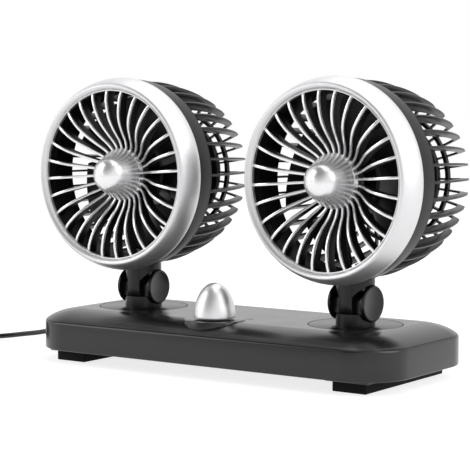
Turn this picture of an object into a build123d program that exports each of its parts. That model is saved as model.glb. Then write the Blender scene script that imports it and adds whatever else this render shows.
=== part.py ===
from build123d import *
import math
import os

os.makedirs("parts", exist_ok=True)

# Twin car fan: two tilting, turning fan heads on one low base, fed by a cord with a 12 V plug.
# Millimetres. X runs along the base, the fans blow towards -Y, Z is up, z = 0 is the table.

# Fits and small clearances
running_gap = 0.3
shaft_gap = 0.05
seat_gap = 0.1
cut_over = 1.0

# Base housing
base_length = 217.6
base_depth = 93.4
corner_radius = 24.5
foot_height = 6.4
seam_height = 21.4
base_height = 27.1
crown_width = 20.0
crown_start_angle = 30
crown_steps = 5
wall = 1.8
lid_inset = 0.5
lip_width = 1.2
lip_depth = 2.5
tray_edge_radius = 0.7

# Feet
foot_end_inset = 23.25
foot_plate_width = 23.5
foot_plate_margin = 6.2
foot_plate_thickness = 1.3
foot_pad_margin = 2.5
foot_edge_radius = 0.6

# Base screws, four under the foot plates and one at the back
screw_plate_inset = 10.5
screw_back_inset = 12.7
screw_radius = 1.45
screw_head_radius = 2.9
screw_head_height = 2.0
screw_length = 12.0
boss_radius = 4.2
boss_height = 3.2
counterbore_depth = 2.6

# Turntables
neck_end_inset = 42.5
right_head_yaw = -4.8
disc_radius = 23.3
disc_thickness = 2.4
disc_gap = 0.35
shelf_thickness = 1.8
hub_radius = 16.7
hub_bore_radius = 12.5
hub_drop = 3.6
clip_radius = 19.5
clip_thickness = 1.4
clip_groove = 1.7

# Tilting neck: a clevis on the turntable, a tongue on the head, a bolt and two caps
hinge_height = 37.8
post_radius = 9.85
post_height = 33.0
neck_radius = 9.6
tongue_width = 8.0
tongue_round_radius = 9.6
ear_radius = 6.0
cap_radius = 9.15
cap_thickness = 1.8
cap_inner_face = 9.2
cap_edge_radius = 0.6
hinge_bolt_radius = 2.0
hinge_bolt_head_radius = 3.5
hinge_bolt_head_height = 1.6

# Fan head, measured from the plane of the grille opening
head_height = 98.5
opening_offset = 27.4
bezel_radius = 50.6
bezel_depth = 10.5
bezel_skin = 1.5
bezel_outline_shares = (
    (0.862, 0.02),
    (0.882, -0.11),
    (0.905, -0.185),
    (0.922, -0.19),
    (0.945, -0.08),
    (0.968, 0.14),
    (0.99, 0.48),
    (1.0, 0.74),
    (1.0, 1.0),
)
bezel_step = 0.8
band_depth = 20.0
band_wall = 1.8
band_hollow = 1.8
groove_width = 0.4
duct_wall = 1.2
duct_taper = 1.8
duct_front = 2.2

# Front grille
fin_count = 28
fin_start_angle = 4.05
fin_thickness = 1.1
fin_depth = 5.5
trim_thickness = 1.4
trim_depth = 1.0
fin_outline_shares = (
    (1.0, 0.009),
    (0.908, -0.014),
    (0.77, -0.009),
    (0.655, 0.023),
    (0.563, 0.074),
    (0.478, 0.137),
    (0.4, 0.198),
    (0.326, 0.229),
)
fin_rim_width = 1.3
fin_hub_radius = 14.4
fin_hub_wall = 1.8
fin_hub_back = 13.8
fin_hub_web = 1.2
trim_ring_radius = 13.3
trim_ring_width = 1.8
spinner_radius = 13.6
spinner_wall = 1.4
spinner_outline_shares = (
    (0.0, -0.603),
    (0.2, -0.588),
    (0.35, -0.537),
    (0.49, -0.449),
    (0.58, -0.346),
    (0.66, -0.213),
    (0.765, 0.015),
    (0.875, 0.25),
    (0.96, 0.44),
    (1.0, 0.56),
)

# Impeller and motor
blade_count = 5
blade_start_left = 14.0
blade_start_right = 43.0
blade_tip_gap = 1.4
blade_thickness = 1.4
blade_setback = 4.5
blade_root_chord = 20.0
blade_tip_chord = 44.0
blade_root_angle = 40
blade_tip_angle = 14
impeller_hub_length = 18.0
impeller_hub_ahead = 6.5
impeller_hub_wall = 1.5
impeller_hub_clearance = 1.2
impeller_boss_radius = 3.2
shaft_radius = 1.0
shaft_seat_depth = 0.8
motor_radius = 12.2
motor_length = 26.1
motor_bell_radius = 11.0
motor_bell_length = 1.6
motor_back_room = 2.0
motor_nose_radius = 4.9
motor_nose_length = 2.0
motor_screw_radius = 1.2
motor_screw_head_radius = 2.1
motor_screw_head_height = 1.0
motor_screw_spacing = 16.0

# Rear cage
rib_count = 36
rib_thickness = 1.0
cage_length = 45.6
cage_seat_thickness = 1.6
cup_wall = 2.2
cup_plate_thickness = 2.0
cage_hub_radius = 28.8
cage_ring_radius = 32.3
cage_ring_width = 2.0
cage_ring_depth = 2.4
cage_ring_step = 2.2
rib_outer_shares = (
    (0.992, 0.0),
    (0.984, 0.263),
    (0.958, 0.493),
    (0.916, 0.713),
    (0.863, 0.904),
    (0.819, 1.0),
    (0.771, 0.985),
    (0.695, 0.95),
    (0.622, 0.908),
    (0.52, 0.8465),
)
rib_inner_shares = (
    (0.52, 0.781),
    (0.622, 0.853),
    (0.695, 0.899),
    (0.767, 0.928),
    (0.809, 0.833),
    (0.847, 0.647),
    (0.871, 0.428),
    (0.888, 0.219),
)
rear_cap_inset = 3.8
rear_cap_thickness = 1.8
rear_cap_spigot = 1.2
neck_clearance = 0.4

# Speed knob and electronics
knob_front_inset = 19.9
knob_radius = 10.6
knob_rise = 17.5
knob_gap = 0.9
knob_wall = 1.8
knob_socket_radius = 4.8
knob_socket_depth = 9.5
pad_radius = 15.4
pad_rise = 0.4
pad_thickness = 1.8
control_shaft_radius = 3.0
control_bush_radius = 3.5
control_bush_height = 4.4
control_width = 16.0
control_depth = 12.0
control_height = 7.0
board_length = 60.0
board_depth = 36.0
board_offset = 6.8
board_thickness = 1.6
board_drop = 15.6
standoff_radius = 2.6
standoff_inset = 4.0
led_x = 13.0
led_offset = 12.1
led_length = 4.2
led_width = 1.3
led_chip_length = 5.0
led_chip_width = 3.0
led_chip_height = 1.2
capacitor_radius = 4.0
capacitor_height = 8.0
capacitor_x = -19.0
capacitor_offset = 11.0
driver_length = 12.0
driver_depth = 4.5
driver_height = 9.0
driver_x = -24.0
driver_offset = -8.0
terminal_length = 12.0
terminal_depth = 7.5
terminal_height = 7.0
terminal_x = 20.0
terminal_offset = -10.0

# Cord, from the left end of the base
cord_diameter = 2.8
exit_height = 10.6
relief_length = 8.4
relief_tip_radius = 1.9
relief_base_radius = 2.9
grommet_flange_radius = 3.3
grommet_flange_thickness = 1.1
grommet_sleeve_radius = 2.15
grommet_hole_radius = 2.25
coil_centre_x = -187.0
coil_outer_radius = 21.0
coil_pitch = 3.27
coil_layers = 4
turns_per_layer = 3
coil_tail = 5.0
cord_into_grip = 18.0

# Cord route between the base and the coil, points chosen by hand
cord_route = [
    (-118.4, 0.0, 10.6),
    (-126.4, 0.1, 10.4),
    (-138.6, 0.5, 6.9),
    (-152.4, 0.3, 4.8),
    (-165.6, -0.3, 2.7),
    (-175.6, 0.0, 1.4),
    (-184.2, 0.0, 1.4),
]

# 12 V plug
plug_relief_length = 18.6
plug_relief_tip_radius = 2.0
plug_relief_base_radius = 4.8
plug_grip_length = 24.0
plug_grip_edge_radius = 1.5
plug_body_radius = 10.45
plug_body_length = 38.0
plug_bore_radius = 4.0
plug_floor_thickness = 3.0
plug_ring_radius = 9.0
plug_ring_length = 7.0
plug_ring_chamfer = 1.0
plug_tip_radius = 3.6
plug_tip_reach = 5.5
plug_tip_collar_radius = 5.4
plug_tip_collar_length = 1.4
plug_tip_travel = 3.0
ring_cavity_radius = 6.0
ring_front_thickness = 1.6
contact_width = 5.0
contact_length = 20.0
contact_proud = 1.3
contact_root = 1.0
fuse_radius = 3.1
fuse_length = 30.0

# Worked-out places of the base
floor_top = foot_height + wall
foot_centre = base_length / 2 - foot_end_inset
foot_plate_length = base_depth - 2 * foot_plate_margin
screw_reach_y = foot_plate_length / 2 - screw_plate_inset
screw_back_y = base_depth / 2 - screw_back_inset
knob_y = knob_front_inset - base_depth / 2
board_y = knob_y + board_offset
board_height = base_height - board_drop
led_y = knob_y + led_offset

# Worked-out places of the heads
hinge_half = tongue_width / 2
ear_start = hinge_half + running_gap * 2 / 3
slot_radius = tongue_round_radius + running_gap
arch_radius = cap_radius + running_gap
opening_radius = bezel_outline_shares[0][0] * bezel_radius
band_radius = bezel_radius - bezel_step
duct_outer = band_radius - band_wall - band_hollow
duct_radius = duct_outer - duct_wall
duct_throat_radius = duct_radius - duct_taper
grille_back = trim_depth + fin_depth
spinner_back = fin_outline_shares[-1][1] * opening_radius
cage_back = band_depth + cage_length
cage_hub_front = band_depth + rib_inner_shares[0][1] * cage_length
cage_hub_back = band_depth + rib_outer_shares[-1][1] * cage_length
cage_ring_back = cage_hub_back + cage_ring_step
cage_ring_front = cage_ring_back - cage_ring_depth
rear_cap_radius = cage_hub_radius - rear_cap_inset
cup_radius = motor_radius + seat_gap
cup_front = cage_hub_back - motor_back_room - motor_length - cup_plate_thickness
impeller_hub_radius = cup_radius + cup_wall + impeller_hub_clearance + impeller_hub_wall
impeller_hub_front = cup_front - impeller_hub_ahead
impeller_hub_back = impeller_hub_front + impeller_hub_length
blade_radius = duct_throat_radius - blade_tip_gap
blade_middle = impeller_hub_front + blade_setback
shaft_front = impeller_hub_front + shaft_seat_depth
neck_centre = base_length / 2 - neck_end_inset
neck_sides = (("left", -neck_centre, 0), ("right", neck_centre, right_head_yaw))
blade_starts = {"left": blade_start_left, "right": blade_start_right}
head_place = Pos(0, -opening_offset, head_height) * Rot(-90, 0, 0)

# Worked-out places of the cord
coil_centre_y = cord_route[-1][1] - coil_outer_radius
plug_height = cord_diameter / 2 + (coil_layers - 1) * coil_pitch


def save(name, solids):
    """Write one node, a solid or a group of separate solids."""
    group = solids if isinstance(solids, (list, tuple)) else [solids]
    loose = [solid for item in group for solid in item.solids()]
    export_step(Compound(loose) if len(loose) > 1 else loose[0], f"parts/{name}.step")


def disc(radius, low, high, bore=0):
    """An upright cylinder between two heights, with an optional bore."""
    align = (Align.CENTER, Align.CENTER, Align.MIN)
    solid = Pos(0, 0, low) * Cylinder(radius, high - low, align=align)
    if bore:
        solid -= Pos(0, 0, low - cut_over) * Cylinder(bore, high - low + 2 * cut_over, align=align)
    return solid


def block(x_range, y_range, z_range):
    """A box between two corners."""
    sizes = [high - low for low, high in (x_range, y_range, z_range)]
    corner = Pos(x_range[0], y_range[0], z_range[0])
    return corner * Box(*sizes, align=(Align.MIN, Align.MIN, Align.MIN))


def turned(points):
    """A solid of revolution about Z from a closed outline of (radius, height) points."""
    outline = Polyline(*[(radius, 0, height) for radius, height in points], close=True)
    return revolve(make_face(outline), Axis.Z)


def bar_x(radius, start, end, height=0):
    """A cylinder along X between two places, with its axis at a height."""
    return Pos(start, 0, height) * Rot(0, 90, 0) * disc(radius, 0, end - start)


def scaled(shares, across, along):
    """Outline points from shares of two sizes."""
    return [(share * across, rise * along) for share, rise in shares]


def base_outline(inset, low, high):
    """A slab with the rounded outline of the base, drawn in by an inset."""
    outline = RectangleRounded(base_length - 2 * inset, base_depth - 2 * inset, corner_radius - inset)
    return extrude(Pos(0, 0, low) * outline, high - low)


def crown_point(step):
    """Inset and height of one section of the crown."""
    angle = math.radians(crown_start_angle + (90 - crown_start_angle) * step / crown_steps)
    start = math.radians(crown_start_angle)
    inset = crown_width * (1 - math.cos(angle) / math.cos(start))
    rise = (math.sin(angle) - math.sin(start)) / (1 - math.sin(start))
    return inset, seam_height + (base_height - seam_height) * rise


def crown(inset, drop):
    """The domed top of the base, drawn in and lowered for its inner face."""
    sections = []
    for step in range(crown_steps + 1):
        step_inset, height = crown_point(step)
        shrink = 2 * (inset + step_inset)
        radius = corner_radius - inset - step_inset
        outline = RectangleRounded(base_length - shrink, base_depth - shrink, radius)
        sections.append(Pos(0, 0, height - drop) * outline)
    return loft(sections)


# Base: lid with wells, bosses and knob pad, tray with cord hole, feet and screws
def screw_places():
    corners = [(x, y) for x in (-foot_centre, foot_centre) for y in (-screw_reach_y, screw_reach_y)]
    return corners + [(0, screw_back_y)]


def base_lid():
    outer = crown(lid_inset, 0)
    inner = crown(lid_inset + wall, wall)
    lip = base_outline(wall + seat_gap * 2, seam_height - lip_depth, seam_height + lip_width)
    lip -= base_outline(wall + seat_gap * 2 + lip_width, seam_height - lip_depth - wall, base_height)
    envelope = outer + base_outline(wall + seat_gap * 2, foot_height, seam_height)
    shelf_top = base_height - disc_thickness - running_gap
    shelf_bottom = shelf_top - shelf_thickness
    fittings = lip
    for side, place, yaw in neck_sides:
        fittings += Pos(place, 0, 0) * disc(disc_radius + disc_gap + wall, shelf_bottom, base_height)
    for x, y in screw_places():
        fittings += Pos(x, y, 0) * disc(boss_radius, floor_top + boss_height, base_height)
    pad_top = base_height + pad_rise
    pad = disc(pad_radius, seam_height, pad_top)
    pad -= disc(pad_radius - pad_thickness, foot_height, pad_top - pad_thickness)
    pad -= base_outline(0, foot_height, seam_height)
    lid = (outer - inner) + (fittings & envelope) + Pos(0, knob_y, 0) * pad
    for side, place, yaw in neck_sides:
        lid -= Pos(place, 0, 0) * disc(disc_radius + disc_gap, shelf_top, base_height + cut_over)
        lid -= Pos(place, 0, 0) * disc(hub_radius + running_gap, foot_height, base_height)
    for x, y in screw_places():
        pilot_top = foot_height + counterbore_depth + screw_length + seat_gap
        lid -= Pos(x, y, 0) * disc(screw_radius + shaft_gap, foot_height, pilot_top)
    lid -= Pos(0, knob_y, 0) * disc(control_bush_radius + running_gap, foot_height, pad_top + cut_over)
    slot = Pos(led_x, led_y, base_height) * Box(led_length, led_width, base_height - seam_height)
    return lid - slot


def base_tray():
    tray = base_outline(0, foot_height, seam_height)
    rims = tray.faces().sort_by(Axis.Z)
    tray = fillet([edge for rim in (rims[0], rims[-1]) for edge in rim.edges()], tray_edge_radius)
    tray -= base_outline(wall, floor_top, seam_height + cut_over)
    for x, y in screw_places():
        tray += Pos(x, y, 0) * disc(boss_radius, foot_height + tray_edge_radius, floor_top + boss_height)
    for x, y in screw_places():
        tray -= Pos(x, y, 0) * disc(screw_head_radius + seat_gap, 0, foot_height + counterbore_depth)
        tray -= Pos(x, y, 0) * disc(screw_radius + seat_gap, 0, base_height)
    for x, y in board_corners():
        tray += Pos(x, y, 0) * disc(standoff_radius, floor_top - seat_gap, board_height)
    end = -base_length / 2
    pocket_reach = grommet_flange_radius + seat_gap
    tray -= block(
        (end + wall - seat_gap, end + wall + 2 * grommet_flange_thickness),
        (-pocket_reach, pocket_reach),
        (exit_height - pocket_reach, floor_top + wall),
    )
    return tray - bar_x(grommet_hole_radius, end - cut_over, end + wall + cut_over, exit_height)


def foot_plates_and_pads():
    pad_top = foot_height - foot_plate_thickness
    for side, place in (("left", -foot_centre), ("right", foot_centre)):
        plate = Box(foot_plate_width, foot_plate_length, foot_plate_thickness)
        plate = Pos(place, 0, (pad_top + foot_height) / 2) * plate
        pad_width = foot_plate_width - 2 * foot_pad_margin
        pad = Pos(place, 0, pad_top / 2) * Box(pad_width, foot_plate_length - 2 * foot_pad_margin, pad_top)
        save(f"{side}_foot_plate", fillet(plate.edges().filter_by(Axis.Z), foot_plate_thickness))
        save(f"{side}_foot_pad", fillet(pad.edges().filter_by(Axis.Z), foot_edge_radius))


def base_screws():
    head_top = foot_height + counterbore_depth
    screw = disc(screw_head_radius, head_top - screw_head_height, head_top)
    screw += disc(screw_radius, head_top - screw_head_height, head_top + screw_length)
    return [Pos(x, y, 0) * screw for x, y in screw_places()]


# Speed control: board on standoffs, its components, the control, shaft, knob and light
def board_corners():
    reach_x = board_length / 2 - standoff_inset
    reach_y = board_depth / 2 - standoff_inset
    return [(x, board_y + y) for x in (-reach_x, reach_x) for y in (-reach_y, reach_y)]


def circuit_board():
    board = Box(board_length, board_depth, board_thickness)
    return Pos(0, board_y, board_height + board_thickness / 2) * board


def board_components():
    top = board_height + board_thickness
    capacitor = disc(capacitor_radius, top, top + capacitor_height)
    driver = Box(driver_length, driver_depth, driver_height)
    terminal = Box(terminal_length, terminal_depth, terminal_height)
    chip = Box(led_chip_length, led_chip_width, led_chip_height)
    return [
        Pos(capacitor_x, board_y + capacitor_offset, 0) * capacitor,
        Pos(driver_x, board_y + driver_offset, top + driver_height / 2) * driver,
        Pos(terminal_x, board_y + terminal_offset, top + terminal_height / 2) * terminal,
        Pos(led_x, led_y, top + led_chip_height / 2) * chip,
    ]


def indicator_light():
    low = board_height + board_thickness + led_chip_height
    high = base_height - seat_gap
    sizes = (led_length - 2 * seat_gap, led_width - 2 * seat_gap)
    return Pos(led_x, led_y, (low + high) / 2) * Box(*sizes, high - low)


def speed_control():
    top = board_height + board_thickness
    body = Pos(0, knob_y, top + control_height / 2) * Box(control_width, control_depth, control_height)
    bush_top = top + control_height + control_bush_height
    body += Pos(0, knob_y, 0) * disc(control_bush_radius, top, bush_top)
    return body - Pos(0, knob_y, 0) * disc(control_shaft_radius + shaft_gap, top + wall, bush_top + cut_over)


def control_shaft():
    low = board_height + board_thickness + wall + seat_gap
    high = knob_base() + knob_socket_depth - seat_gap
    return Pos(0, knob_y, 0) * disc(control_shaft_radius, low, high)


def knob_base():
    return base_height + pad_rise + knob_gap


def speed_knob():
    angles = [math.radians(degrees) for degrees in range(0, 91, 15)]
    places = [(knob_radius * math.cos(angle), 0, knob_rise * math.sin(angle)) for angle in angles]
    places[-1] = (0, 0, knob_rise)
    crest = Spline(*places, tangents=[(0, 0, 1), (-1, 0, 0)])
    bore = control_shaft_radius + shaft_gap / 2
    hollow_radius = knob_radius * math.sqrt(1 - (knob_socket_depth / knob_rise) ** 2) - knob_wall
    inside = Polyline(
        (0, 0, knob_rise),
        (0, 0, knob_socket_depth),
        (bore, 0, knob_socket_depth),
        (bore, 0, 0),
        (knob_socket_radius, 0, 0),
        (knob_socket_radius, 0, knob_socket_depth),
        (hollow_radius, 0, knob_socket_depth),
        (knob_radius - knob_wall, 0, 0),
        (knob_radius, 0, 0),
    )
    return Pos(0, knob_y, knob_base()) * revolve(make_face([crest, inside]), Axis.Z)


# Turntable with its clevis, clip, hinge bolt and caps, drawn about the neck axis
def turntable():
    disc_bottom = base_height - disc_thickness
    table = disc(disc_radius, disc_bottom, base_height)
    table += disc(hub_radius, disc_bottom - hub_drop, disc_bottom, hub_bore_radius)
    groove_top = disc_bottom - running_gap - shelf_thickness - running_gap
    table -= disc(hub_radius + cut_over, groove_top - clip_thickness, groove_top, hub_radius - clip_groove)
    table += disc(post_radius, disc_bottom, post_height)
    ear_span = (cap_inner_face, -cap_inner_face)
    ears = bar_x(ear_radius, ear_span[1], ear_span[0], hinge_height)
    ears += block(ear_span[::-1], (-ear_radius, ear_radius), (post_height - cut_over, hinge_height))
    table += ears & disc(post_radius + cut_over, disc_bottom, hinge_height + ear_radius)
    slot = bar_x(slot_radius, -ear_start, ear_start, hinge_height)
    slot += block((-ear_start, ear_start), (-2 * post_radius, 2 * post_radius), (post_height, head_height))
    table -= slot
    pocket = bar_x(cap_radius + seat_gap, cap_inner_face, cap_inner_face + post_radius, hinge_height)
    bore_start = cap_inner_face - bolt_pocket()
    pocket += bar_x(hinge_bolt_head_radius + seat_gap, bore_start, cap_inner_face + cut_over, hinge_height)
    table -= pocket + Rot(0, 0, 180) * pocket
    return table - bar_x(hinge_bolt_radius + shaft_gap / 2, -post_radius, post_radius, hinge_height)


def bolt_pocket():
    return hinge_bolt_head_height + 2 * cap_edge_radius


def turntable_clip():
    top = base_height - disc_thickness - 2 * running_gap - shelf_thickness
    bore = hub_radius - clip_groove + shaft_gap
    clip = disc(clip_radius, top - clip_thickness + shaft_gap, top - shaft_gap, bore)
    opening = block((-clip_radius / 3, clip_radius / 3), (0, 2 * clip_radius), (0, base_height))
    return clip - opening


def hinge_bolt():
    inner = cap_inner_face - bolt_pocket()
    outer = inner + hinge_bolt_head_height
    bolt = bar_x(hinge_bolt_radius, -outer, outer, hinge_height)
    for start in (inner, -outer):
        bolt += bar_x(hinge_bolt_head_radius, start, start + hinge_bolt_head_height, hinge_height)
    return bolt


def hinge_caps():
    spigot = bolt_pocket() - hinge_bolt_head_height - seat_gap
    cap = disc(cap_radius, 0, cap_thickness)
    cap = fillet(cap.edges().group_by(Axis.Z)[-1], cap_edge_radius)
    cap += disc(hinge_bolt_head_radius, -spigot, 0)
    right = Pos(cap_inner_face, 0, hinge_height) * Rot(0, 90, 0) * cap
    left = Pos(-cap_inner_face, 0, hinge_height) * Rot(0, -90, 0) * cap
    return [right, left]


# Fan head: housing with the tongue, bezel, grille, silver trim and spinner
def neck():
    """Column under the head with its tongue, arches and bolt hole."""
    column = disc(neck_radius, hinge_height - cut_over - arch_radius, head_height)
    tongue = bar_x(tongue_round_radius, -hinge_half, hinge_half, hinge_height)
    tongue_side = (-hinge_half, hinge_half)
    tongue += block(tongue_side, (-tongue_round_radius, tongue_round_radius), (hinge_height, head_height))
    above = block((-neck_radius, neck_radius), (-neck_radius, neck_radius), (hinge_height, head_height))
    above -= bar_x(arch_radius, -2 * neck_radius, 2 * neck_radius, hinge_height)
    shape = column & (tongue + above)
    shape -= bar_x(hinge_bolt_radius + shaft_gap, -neck_radius, neck_radius, hinge_height)
    return shape - head_place * disc(duct_outer - seat_gap, -opening_offset, 2 * cage_back)


def neck_root():
    """Solid stretch between the duct and the band that carries the neck, drawn about the head's axis."""
    span = block((-neck_radius, neck_radius), (0, band_radius), (bezel_depth + groove_width, band_depth))
    return span & disc(band_radius - band_wall / 2, 0, band_depth, duct_outer - duct_wall / 2)


def housing():
    band_front = bezel_depth + groove_width
    lip_outer = bezel_radius - bezel_skin - seat_gap
    shell = turned(
        [
            (duct_radius, duct_front),
            (duct_outer, duct_front),
            (duct_outer, band_depth - band_wall),
            (band_radius - band_wall, band_depth - band_wall),
            (lip_outer - band_wall, band_front),
            (lip_outer - band_wall, band_front - bezel_depth / 3),
            (lip_outer, band_front - bezel_depth / 3),
            (lip_outer, band_front),
            (band_radius, band_front),
            (band_radius, band_depth - groove_width),
            (band_radius - groove_width, band_depth),
            (duct_throat_radius, band_depth),
            (duct_radius, grille_back + 2 * seat_gap),
        ]
    )
    return head_place * (shell + neck_root()) + neck()


def bezel():
    outside = scaled(bezel_outline_shares, bezel_radius, bezel_depth)
    front = Spline(*[(radius, 0, depth) for radius, depth in outside[:-1]])
    inner_edge = outside[0][0]
    back = bezel_radius - bezel_skin
    rim = Polyline(
        (outside[-2][0], 0, outside[-2][1]),
        (bezel_radius, 0, bezel_depth),
        (back, 0, bezel_depth),
        (back, 0, bezel_depth / 2),
        (inner_edge + 2 * bezel_skin, 0, bezel_skin),
        (inner_edge, 0, bezel_skin),
        (inner_edge, 0, outside[0][1]),
    )
    return head_place * revolve(make_face([front, rim]), Axis.Z)


def fin(shift_front, shift_back, inner_radius, thickness):
    """One radial fin between two copies of the front edge line."""
    points = scaled(fin_outline_shares, opening_radius, opening_radius)
    front = [(radius, 0, depth + shift_front) for radius, depth in points]
    back = [(radius, 0, min(depth + shift_back, fin_hub_back)) for radius, depth in points]
    front[-1] = (inner_radius, 0, front[-1][2])
    back[-1] = (inner_radius, 0, back[-1][2])
    sides = [Spline(*front), Line(front[-1], back[-1]), Spline(*back[::-1]), Line(back[0], front[0])]
    plate = extrude(make_face(sides), thickness / 2, dir=(0, 1, 0), both=True)
    return plate


def fin_angles():
    return [-fin_start_angle - step * 360 / fin_count for step in range(fin_count)]


def grille():
    one = fin(trim_depth, trim_depth + fin_depth, trim_ring_radius - trim_ring_width / 2, fin_thickness)
    one -= disc(fin_hub_radius - fin_hub_wall, 0, fin_hub_back + cut_over)
    hub_front = fin_outline_shares[-1][1] * opening_radius + trim_depth
    body = disc(fin_hub_radius, hub_front, fin_hub_back, fin_hub_radius - fin_hub_wall)
    body += disc(fin_hub_radius - fin_hub_wall / 2, hub_front + fin_hub_web, hub_front + 2 * fin_hub_web)
    rim_radius = duct_radius - seat_gap
    body += disc(rim_radius, bezel_skin + seat_gap, grille_back, rim_radius - fin_rim_width)
    return head_place * (body + [Rot(0, 0, angle) * one for angle in fin_angles()])


def grille_trim():
    one = fin(0, trim_depth, trim_ring_radius - trim_ring_width / 2, trim_thickness)
    hub_front = fin_outline_shares[-1][1] * opening_radius
    ring = disc(trim_ring_radius, hub_front, hub_front + trim_depth, trim_ring_radius - trim_ring_width)
    limit = disc(opening_radius - seat_gap / 2, -opening_offset, fin_hub_back)
    limit -= disc(spinner_radius + seat_gap, -opening_offset, spinner_back)
    return head_place * ((ring + [Rot(0, 0, angle) * one for angle in fin_angles()]) & limit)


def spinner():
    points = scaled(spinner_outline_shares, spinner_radius, spinner_radius)
    base = (spinner_radius, spinner_back)
    inside = spinner_radius - spinner_wall
    nose = Spline(*[(radius, 0, depth) for radius, depth in points[:-1]], (base[0], 0, base[1]))
    inner_tip = points[0][1] + 2 * spinner_wall
    rest = Polyline(
        (base[0], 0, base[1]),
        (inside, 0, base[1]),
        (inside * 4 / 5, 0, 0),
        (inside / 2, 0, inner_tip * 2 / 3),
        (0, 0, inner_tip),
        (0, 0, points[0][1]),
    )
    return head_place * revolve(make_face([nose, rest]), Axis.Z)


# Rear cage, its hub cap, motor, shaft, screws and impeller
def rib():
    outer = scaled(rib_outer_shares, band_radius, cage_length)
    inner = scaled(rib_inner_shares, band_radius, cage_length)
    outer = [(radius, band_depth + along) for radius, along in outer]
    inner = [(radius, band_depth + along) for radius, along in inner]
    closing = [inner[-1], (duct_outer + seat_gap, band_depth), outer[0]]
    tip = Spline(*[(radius, 0, along) for radius, along in outer[:6]])
    rear = Spline(*[(radius, 0, along) for radius, along in outer[5:]])
    rear_inner = Spline(*[(radius, 0, along) for radius, along in inner[:4]])
    side_inner = Spline(*[(radius, 0, along) for radius, along in inner[3:]])
    hub_edge = Line((outer[-1][0], 0, outer[-1][1]), (inner[0][0], 0, inner[0][1]))
    seat_edge = Polyline(*[(radius, 0, along) for radius, along in closing])
    outline = make_face([tip, rear, hub_edge, rear_inner, side_inner, seat_edge])
    return extrude(outline, rib_thickness / 2, dir=(0, 1, 0), both=True)


def rear_cage():
    cage = disc(cup_radius + cup_wall, cup_front, cage_hub_front, cup_radius)
    plate_back = cup_front + cup_plate_thickness
    cage += disc(cup_radius + cup_wall, cup_front, plate_back, motor_nose_radius + seat_gap)
    cage += disc(cage_hub_radius, cage_hub_front, cage_hub_back, cup_radius)
    ring_bore = cage_ring_radius - cage_ring_width / 2
    cage += disc(ring_bore + cage_ring_width, cage_ring_front, cage_ring_back, ring_bore)
    seat_outer = rib_outer_shares[0][0] * band_radius
    cage += disc(seat_outer, band_depth, band_depth + cage_seat_thickness, duct_outer + seat_gap)
    one = rib()
    cage += [Rot(0, 0, step * 360 / rib_count) * one for step in range(rib_count)]
    for side in (-1, 1):
        hole = disc(motor_screw_radius + seat_gap, cup_front - cut_over, plate_back + seat_gap)
        cage -= Pos(side * motor_screw_spacing / 2, 0, 0) * hole
    cage -= disc(rear_cap_radius + seat_gap, cage_hub_back, cage_back)
    clear = disc(neck_radius + neck_clearance, 0, head_height - cage_ring_radius)
    return head_place * cage - clear


def rear_cap():
    cap = disc(rear_cap_radius, cage_hub_back, cage_hub_back + rear_cap_thickness)
    cap = fillet(cap.edges().group_by(Axis.Z)[-1], rear_cap_thickness / 2)
    bell_end = cup_front + cup_plate_thickness + motor_length + motor_bell_length
    spigot_bore = motor_bell_radius - rear_cap_spigot
    cap += disc(motor_radius - seat_gap, cage_hub_back - rear_cap_spigot, cage_hub_back, spigot_bore)
    clear = max(bell_end + seat_gap, cage_hub_back - rear_cap_spigot)
    return head_place * (cap - disc(motor_bell_radius + seat_gap, cage_hub_front, clear))


def motor():
    front = cup_front + cup_plate_thickness
    body = disc(motor_radius, front, front + motor_length)
    body = fillet(body.edges().group_by(Axis.Z)[-1], motor_bell_length / 2)
    body += disc(motor_bell_radius, front, front + motor_length + motor_bell_length)
    body += disc(motor_nose_radius, front - motor_nose_length, front)
    body -= disc(shaft_radius + shaft_gap, 0, front + motor_length)
    for side in (-1, 1):
        hole = disc(motor_screw_radius + shaft_gap, 0, front + 2 * cup_plate_thickness)
        body -= Pos(side * motor_screw_spacing / 2, 0, 0) * hole
    return head_place * body


def motor_screws():
    head = disc(motor_screw_head_radius, cup_front - motor_screw_head_height, cup_front)
    head += disc(motor_screw_radius, cup_front, cup_front + 2 * cup_plate_thickness)
    return [head_place * Pos(side * motor_screw_spacing / 2, 0, 0) * head for side in (-1, 1)]


def motor_shaft():
    back = cup_front + cup_plate_thickness + motor_length - seat_gap
    return head_place * disc(shaft_radius, shaft_front, back)


def blade():
    """One twisted blade, lofted from hub to tip and trimmed to the blade circle."""
    sections = []
    for radius, chord, angle in (
        (impeller_hub_radius - impeller_hub_wall / 2, blade_root_chord, blade_root_angle),
        (
            (impeller_hub_radius + blade_radius) / 2,
            (blade_root_chord + blade_tip_chord) / 2,
            (blade_root_angle + blade_tip_angle) / 2,
        ),
        (blade_radius + blade_thickness, blade_tip_chord, blade_tip_angle),
    ):
        turn = math.radians(angle)
        plane = Plane(
            origin=(radius, 0, blade_middle),
            x_dir=(0, math.cos(turn), math.sin(turn)),
            z_dir=(1, 0, 0),
        )
        sections.append(plane * Rectangle(chord, blade_thickness))
    return loft(sections) & disc(blade_radius, 0, 2 * impeller_hub_back)


def impeller(start_angle):
    """A cup that runs round the motor's cup, with its blades from a starting angle."""
    hub = disc(impeller_hub_radius, impeller_hub_front, impeller_hub_back)
    skirt = impeller_hub_radius - impeller_hub_wall
    hub -= disc(skirt, impeller_hub_front + 2 * impeller_hub_wall, impeller_hub_back + cut_over)
    hub += disc(impeller_boss_radius, impeller_hub_front + impeller_hub_wall, cup_front - 2 * running_gap)
    hub -= disc(shaft_radius + shaft_gap / 2, shaft_front - seat_gap, impeller_hub_back)
    one = blade() - disc(skirt + seat_gap, 0, 2 * impeller_hub_back)
    angles = [start_angle + step * 360 / blade_count for step in range(blade_count)]
    return head_place * (hub + [Rot(0, 0, angle) * one for angle in angles])


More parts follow.
